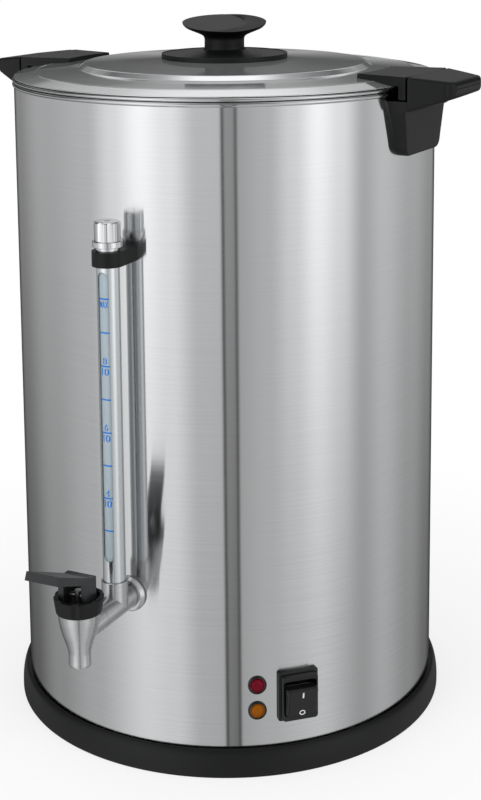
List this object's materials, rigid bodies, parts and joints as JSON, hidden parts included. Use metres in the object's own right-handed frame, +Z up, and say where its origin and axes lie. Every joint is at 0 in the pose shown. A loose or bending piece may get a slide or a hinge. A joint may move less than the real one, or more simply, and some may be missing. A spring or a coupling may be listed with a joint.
{
  "type": "coffee urn",
  "caption": "Tall cylindrical percolator coffee urn with a lever tap, sight gauge, twist-on lid with knob, shelf handles, pilot lamps and a rocker switch.",
  "frame": {"origin": "on the axis of the vessel at table height, in the plane of the base ring's foot", "axes": "+Z up along the vessel's axis; -Y is the front, towards the tap; +X is to the right seen from the front"},
  "size_m": [0.3778, 0.4127, 0.4972],
  "materials": {
    "brushed_steel": "circumferential brushing",
    "polished_steel": "polished",
    "satin_steel": "satin",
    "anodised_aluminium": "satin anodised",
    "cast_aluminium": "cast",
    "zinc_steel": "zinc plated",
    "black_plastic": "fine moulded texture",
    "black_gloss_plastic": "smooth moulded",
    "pale_plastic": "moulded",
    "rubber": "matte",
    "silicone": "matte",
    "gauge_glass": "clear",
    "red_lens": "translucent",
    "amber_lens": "translucent"
  },
  "bodies": {
    "urn": {"outer_jacket": "brushed_steel", "boiler": "polished_steel", "base_ring": "black_plastic", "bottom_plate": "zinc_steel", "rubber_feet": "rubber", "bottom_screws": "zinc_steel", "brew_heater": "cast_aluminium", "keep_warm_heater": "cast_aluminium", "thermostat": "black_gloss_plastic", "thermal_cutout": "cast_aluminium", "terminal_block": "pale_plastic", "cord_gland": "black_plastic", "gland_nut": "black_plastic", "switch_bezel": "black_gloss_plastic", "switch_body": "black_plastic", "switch_pivot": "zinc_steel", "lamp_bezels": "black_gloss_plastic", "red_lens": "red_lens", "amber_lens": "amber_lens", "lamp_holders": "pale_plastic", "tap_shank": "satin_steel", "escutcheon": "satin_steel", "shank_gasket": "silicone", "shank_nut": "satin_steel", "tap_body": "satin_steel", "tap_bonnet": "black_plastic", "tap_spring": "zinc_steel", "gauge_seal": "silicone", "gauge_glass": "gauge_glass", "gauge_shield": "anodised_aluminium", "gauge_clip": "black_plastic", "clip_screw": "zinc_steel", "handle_right": "black_plastic", "handle_left": "black_plastic", "handle_screws": "zinc_steel"},
    "stem": {"tap_stem": "satin_steel", "seat_cup": "silicone", "lever_pin": "zinc_steel"},
    "lever": {"tap_lever": "black_plastic"},
    "rocker": {"switch_rocker": "black_gloss_plastic"},
    "cap": {"gauge_cap": "polished_steel"},
    "basket": {"pump_tube": "satin_steel", "coffee_basket": "satin_steel", "basket_spreader": "satin_steel"},
    "valve": {"pump_valve": "satin_steel"},
    "seal": {"lid_seal": "silicone"},
    "lid": {"lid_shell": "polished_steel", "lid_knob": "black_plastic", "knob_screw": "zinc_steel", "lug_right": "black_plastic", "lug_left": "black_plastic", "lug_screws": "zinc_steel"}
  },
  "joints": [
    {"name": "stem_lift", "type": "slide", "parent": "urn", "child": "stem", "axis": [0, 0, 1], "range_m": [0, 0.003], "deforming": ["tap_spring"]},
    {"name": "lever_pull", "type": "hinge", "parent": "stem", "child": "lever", "pos_m": [0, -0.214, 0.1471], "axis": [1, 0, 0], "range_deg": [0, 28], "stiffness_Nm_per_rad": 0.06, "springref_deg": -17.19},
    {"name": "rocker_press", "type": "hinge", "parent": "urn", "child": "rocker", "pos_m": [0.10398, -0.10881, 0.054], "axis": [-0.723, -0.6909, 0], "range_deg": [0, 20]},
    {"name": "gauge_cap_lift", "type": "slide", "parent": "urn", "child": "cap", "axis": [0, 0, 1], "range_m": [0, 0.03]},
    {"name": "basket_lift", "type": "slide", "parent": "urn", "child": "basket", "axis": [0, 0, 1], "range_m": [0, 0.36]},
    {"name": "valve_lift", "type": "slide", "parent": "basket", "child": "valve", "axis": [0, 0, 1], "range_m": [0, 0.003]},
    {"name": "lid_lift", "type": "slide", "parent": "basket", "child": "seal", "axis": [0, 0, 1], "range_m": [0, 0.12]},
    {"name": "lid_twist", "type": "hinge", "parent": "seal", "child": "lid", "pos_m": [0, 0, 0.457], "axis": [0, 0, 1], "range_deg": [0, 30]}
  ],
  "couplings": [
    {"joint": "stem_lift", "follows": "lever_pull", "m_per_rad": 0.00613}
  ]
}
